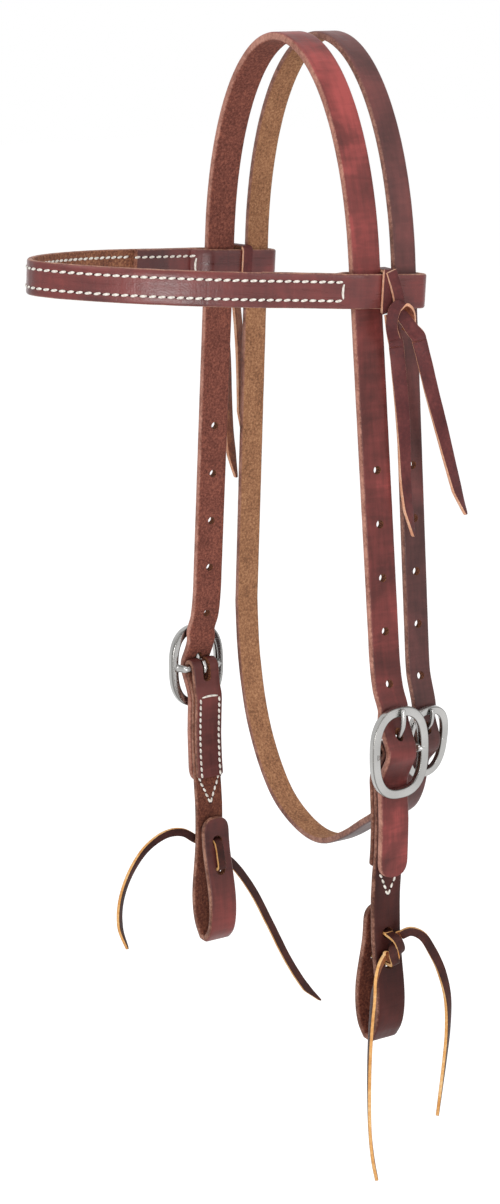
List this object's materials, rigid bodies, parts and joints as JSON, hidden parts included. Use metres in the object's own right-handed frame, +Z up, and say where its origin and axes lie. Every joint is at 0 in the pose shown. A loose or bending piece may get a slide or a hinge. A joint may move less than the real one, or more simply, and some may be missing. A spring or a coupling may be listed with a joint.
{
  "type": "western headstall",
  "caption": "Browband headstall of harness leather for a horse, with bar buckles at cheeks and throat latch, laced bit loops, white box stitching.",
  "frame": {"origin": "the poll: middle of the crown strap's underside at its highest point", "axes": "+X to the horse's left (near) side, -Y to its front, +Z up"},
  "size_m": [0.195, 0.2175, 0.5481],
  "materials": {
    "oiled_harness_leather": "oxblood oiled grain, waxed tan edges",
    "latigo_lace": "dark oiled lace with orange-tan cut edges",
    "polished_stainless_steel": "polished stainless steel"
  },
  "bodies": {
    "headpiece": {"crown_strap": "oiled_harness_leather", "throat_strap": "oiled_harness_leather"},
    "browband": {"browband": "oiled_harness_leather", "near_browband_tie": "latigo_lace", "near_browband_tie_front_tail": "latigo_lace", "near_browband_tie_back_tail": "latigo_lace", "far_browband_tie": "latigo_lace", "far_browband_tie_front_tail": "latigo_lace", "far_browband_tie_back_tail": "latigo_lace"},
    "near_cheek": {"near_cheek_strap": "oiled_harness_leather", "near_bit_tie": "latigo_lace", "near_bit_tie_front_tail": "latigo_lace", "near_bit_tie_back_tail": "latigo_lace"},
    "near_cheek_buckle": {"near_cheek_buckle_frame": "polished_stainless_steel"},
    "near_cheek_tongue": {"near_cheek_buckle_tongue": "polished_stainless_steel"},
    "far_cheek": {"far_cheek_strap": "oiled_harness_leather", "far_bit_tie": "latigo_lace", "far_bit_tie_front_tail": "latigo_lace", "far_bit_tie_back_tail": "latigo_lace"},
    "far_cheek_buckle": {"far_cheek_buckle_frame": "polished_stainless_steel"},
    "far_cheek_tongue": {"far_cheek_buckle_tongue": "polished_stainless_steel"},
    "throat_buckle": {"throat_buckle_frame": "polished_stainless_steel"},
    "throat_tongue": {"throat_buckle_tongue": "polished_stainless_steel"}
  },
  "joints": [
    {"name": "browband_slide", "type": "slide", "parent": "headpiece", "child": "browband", "axis": [0, 0, 1], "range_m": [-0.008, 0.008]},
    {"name": "near_cheek_swing", "type": "hinge", "parent": "headpiece", "child": "near_cheek", "pos_m": [0.0873, 0, -0.326], "axis": [0, 1, 0], "range_deg": [0, 25]},
    {"name": "near_cheek_buckle_rock", "type": "hinge", "parent": "headpiece", "child": "near_cheek_buckle", "pos_m": [0.0873, 0, -0.326], "axis": [0, 1, 0], "range_deg": [-1.5, 1.5]},
    {"name": "near_cheek_tongue_lift", "type": "hinge", "parent": "near_cheek_buckle", "child": "near_cheek_tongue", "pos_m": [0.0873, 0, -0.326], "axis": [0, 1, 0], "range_deg": [0, 4]},
    {"name": "far_cheek_swing", "type": "hinge", "parent": "headpiece", "child": "far_cheek", "pos_m": [-0.0873, 0, -0.326], "axis": [0, -1, 0], "range_deg": [0, 25]},
    {"name": "far_cheek_buckle_rock", "type": "hinge", "parent": "headpiece", "child": "far_cheek_buckle", "pos_m": [-0.0873, 0, -0.326], "axis": [0, -1, 0], "range_deg": [-1.5, 1.5]},
    {"name": "far_cheek_tongue_lift", "type": "hinge", "parent": "far_cheek_buckle", "child": "far_cheek_tongue", "pos_m": [-0.0873, 0, -0.326], "axis": [0, -1, 0], "range_deg": [0, 4]},
    {"name": "throat_buckle_rock", "type": "hinge", "parent": "headpiece", "child": "throat_buckle", "pos_m": [0.0796, 0.0219, -0.326], "axis": [0, 1, 0], "range_deg": [-1.5, 1.5]},
    {"name": "throat_tongue_lift", "type": "hinge", "parent": "throat_buckle", "child": "throat_tongue", "pos_m": [0.0796, 0.0219, -0.326], "axis": [0, 1, 0], "range_deg": [0, 4]}
  ]
}
